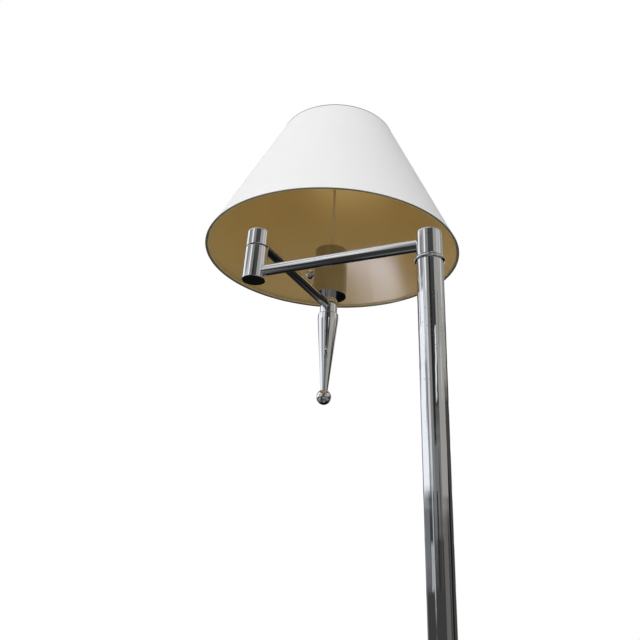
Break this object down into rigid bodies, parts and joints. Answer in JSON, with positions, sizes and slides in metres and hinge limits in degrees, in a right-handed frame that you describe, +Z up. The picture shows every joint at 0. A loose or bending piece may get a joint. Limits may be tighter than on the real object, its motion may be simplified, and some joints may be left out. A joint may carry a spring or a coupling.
{
  "type": "swing-arm floor lamp",
  "caption": "Floor lamp with a round weighted base, tapered pole, jointed horizontal swing arm, turned drop finial, socket cup with rotary switch and a gold-lined cone shade.",
  "frame": {"origin": "centre of the base's underside, on the floor and on the pole's axis", "axes": "+Z up along the pole; at rest the lower arm runs along -X to the elbow and the upper arm along +Y to the head"},
  "size_m": [0.5129, 0.5113, 1.3815],
  "materials": {
    "chrome": "polished",
    "zinc_steel": "zinc plated",
    "brass_plate": "plated, lightly dulled",
    "cast_weight": "black paint, rough",
    "base_felt": "felt",
    "black_nylon": "moulded",
    "black_phenolic": "moulded",
    "lead_jacket": "flexible",
    "shade_white": "satin laminate",
    "shade_gold": "metallic gold laminate, satin",
    "shade_tape": "woven tape"
  },
  "bodies": {
    "stand": {"base_pad": "base_felt", "base_weight": "cast_weight", "base_cover": "chrome", "base_washer": "zinc_steel", "base_nut": "zinc_steel", "base_nipple": "zinc_steel", "cord_bushing": "black_nylon", "pole_collar": "chrome", "pole_bush": "zinc_steel", "pole": "chrome", "pole_plug": "zinc_steel", "pole_ring": "chrome", "pole_lead": "lead_jacket", "knuckle_washer": "black_nylon", "knuckle_spring": "zinc_steel", "knuckle_stop_washer": "zinc_steel", "knuckle_nut": "zinc_steel"},
    "lower_arm": {"knuckle_barrel": "chrome", "knuckle_cap": "chrome", "knuckle_bush": "brass_plate", "knuckle_stop_pin": "zinc_steel", "lower_arm_tube": "chrome", "elbow_lower_barrel": "chrome", "elbow_lower_cap": "chrome", "elbow_bush": "brass_plate", "elbow_stop_pin": "zinc_steel", "lower_arm_lead": "lead_jacket"},
    "upper_arm": {"elbow_washer": "black_nylon", "elbow_spigot": "zinc_steel", "elbow_spring": "zinc_steel", "elbow_stop_washer": "zinc_steel", "elbow_nut": "zinc_steel", "elbow_upper_barrel": "chrome", "elbow_upper_cap": "chrome", "upper_arm_tube": "chrome", "stem": "chrome", "stem_nipple": "zinc_steel", "stem_nut": "zinc_steel", "finial": "chrome", "finial_ball": "chrome", "socket_cup": "chrome", "holder_cap": "brass_plate", "holder_body": "black_phenolic", "holder_shell": "brass_plate", "screw_shell": "brass_plate", "centre_contact": "brass_plate", "upper_arm_lead": "lead_jacket", "harp_saddle": "brass_plate", "harp": "brass_plate", "harp_nut": "chrome", "shade_spider": "brass_plate", "shade_top_ring": "brass_plate", "shade_bottom_ring": "brass_plate", "shade_cover": "shade_white", "shade_liner": "shade_gold", "shade_top_trim": "shade_tape", "shade_bottom_trim": "shade_tape"},
    "switch": {"switch_spindle": "zinc_steel", "switch_knob": "chrome"}
  },
  "joints": [
    {"name": "pole_swivel", "type": "hinge", "parent": "stand", "child": "lower_arm", "pos_m": [0, 0, 1.0443], "axis": [0, 0, 1], "range_deg": [-165, 165]},
    {"name": "elbow_swivel", "type": "hinge", "parent": "lower_arm", "child": "upper_arm", "pos_m": [-0.193, 0, 1.0882], "axis": [0, 0, 1], "range_deg": [-75, 255]},
    {"name": "switch_turn", "type": "hinge", "parent": "upper_arm", "child": "switch", "pos_m": [-0.193, 0.193, 1.1515], "axis": [-1, 0, 0], "continuous": true}
  ]
}
